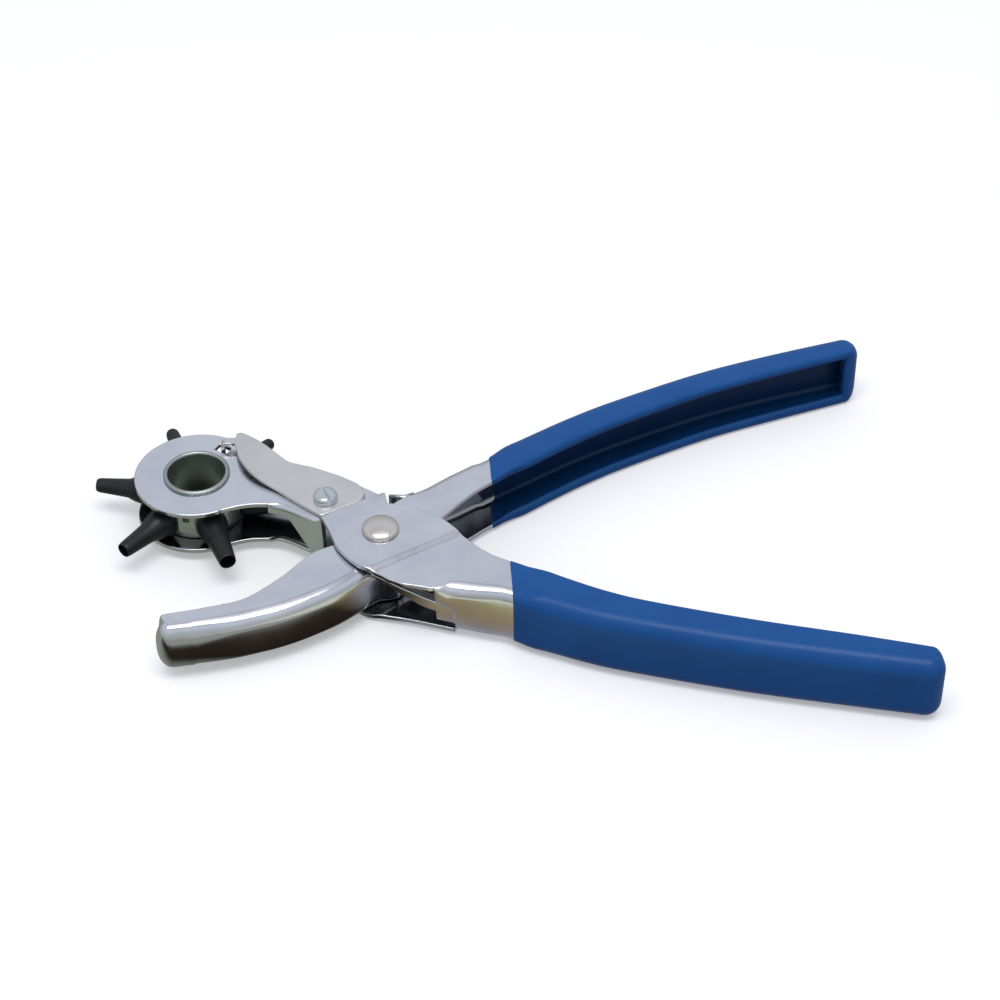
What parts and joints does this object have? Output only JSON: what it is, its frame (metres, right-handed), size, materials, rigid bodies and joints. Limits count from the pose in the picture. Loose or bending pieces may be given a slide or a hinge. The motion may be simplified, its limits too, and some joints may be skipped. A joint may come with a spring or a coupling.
{
  "type": "rotary hole punch",
  "caption": "Revolving leather punch pliers: a turret wheel of punch tubes in a forked sheet-steel head, a pivoted anvil jaw, and dipped blue handles.",
  "frame": {"origin": "centre of the hollow rivet that the turret wheel turns on, half way through the tool", "axes": "+Z along the hollow rivet's bore, towards the side with the detent spring; +X along the tool's length, towards the handles' ends"},
  "size_m": [0.2155, 0.1346, 0.0208],
  "materials": {
    "plated_steel": "bright nickel plate over pressed sheet steel",
    "wheel_steel": "plated, turned",
    "rivet_steel": "polished",
    "screw_steel": "bright zinc plate",
    "spring_steel": "satin nickel plate",
    "spring_wire": "oiled spring wire",
    "plain_steel": "plain",
    "black_steel": "black oxide, soft sheen",
    "anvil_brass": "plain brass",
    "blue_vinyl": "dipped vinyl, satin gloss"
  },
  "bodies": {
    "head": {"punch_arm": "plated_steel", "lower_grip": "blue_vinyl", "wheel_rivet": "rivet_steel", "wheel_washer": "plain_steel", "detent_screw": "screw_steel", "detent_nut": "plain_steel", "pivot_rivet": "rivet_steel", "pivot_sleeve": "plain_steel", "opening_spring": "spring_wire"},
    "jaw": {"anvil_arm": "plated_steel", "upper_grip": "blue_vinyl", "anvil_pad": "anvil_brass", "anvil_saddle": "plain_steel"},
    "turret": {"punch_wheel": "wheel_steel", "punch_tube_1": "black_steel", "punch_tube_2": "black_steel", "punch_tube_3": "black_steel", "punch_tube_4": "black_steel", "punch_tube_5": "black_steel", "punch_tube_6": "black_steel"},
    "detent": {"detent_spring": "spring_steel"}
  },
  "joints": [
    {"name": "jaw_close", "type": "hinge", "parent": "head", "child": "jaw", "pos_m": [0.049, -0.0285, 0], "axis": [0, 0, -1], "range_deg": [0, 27], "stiffness_Nm_per_rad": 0.5, "springref_deg": -22.92, "deforming": ["opening_spring"]},
    {"name": "wheel_spin", "type": "hinge", "parent": "head", "child": "turret", "pos_m": [0, 0, 0], "axis": [0, 0, 1], "continuous": true},
    {"name": "detent_lift", "type": "hinge", "parent": "head", "child": "detent", "pos_m": [0.0273, -0.0073, 0.00755], "axis": [0.6691, 0.7431, 0], "range_deg": [0, 6], "stiffness_Nm_per_rad": 0.3, "springref_deg": -5.73, "deforming": ["detent_spring"]}
  ]
}
